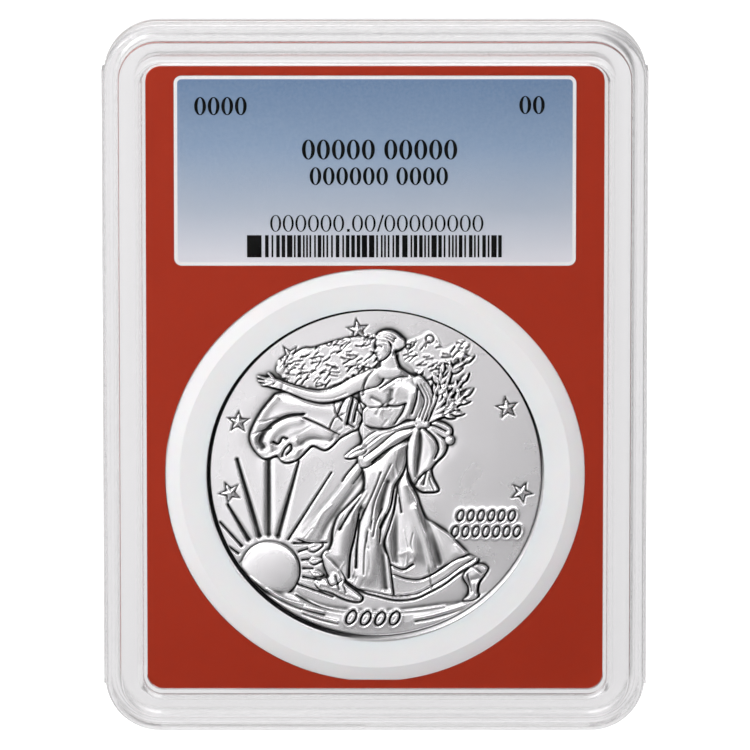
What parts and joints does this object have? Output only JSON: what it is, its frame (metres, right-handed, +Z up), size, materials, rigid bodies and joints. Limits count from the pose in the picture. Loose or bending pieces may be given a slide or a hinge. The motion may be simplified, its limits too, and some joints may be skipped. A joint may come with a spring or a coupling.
{
  "type": "graded coin slab",
  "caption": "Flat clear sealed display case for one large silver coin, with a red frame, white gasket ring and card label",
  "frame": {"origin": "middle of the bottom edge, centred in the width and in the depth", "axes": "+X to the right seen from the front, +Y to the back, +Z up along the long side; the coin's front faces -Y"},
  "size_m": [0.0636, 0.008, 0.0836],
  "materials": {
    "clear_shell": "gloss",
    "red_plastic": "satin",
    "white_gasket": "satin",
    "silver": "satin",
    "printed_card": "satin",
    "foil": "polished",
    "inlay_film": "gloss",
    "antenna_metal": "satin",
    "chip_black": "matte"
  },
  "bodies": {
    "case": {"front_shell": "clear_shell", "back_shell": "clear_shell", "colour_frame": "red_plastic", "gasket_ring": "white_gasket", "front_label": "printed_card", "back_label": "printed_card", "security_foil": "foil", "nfc_film": "inlay_film", "nfc_antenna": "antenna_metal", "nfc_chip": "chip_black"},
    "coin": {"coin": "silver"}
  },
  "joints": [
    {"name": "coin_turn", "type": "hinge", "parent": "case", "child": "coin", "pos_m": [0, 0, 0.03025], "axis": [0, -1, 0], "continuous": true}
  ]
}
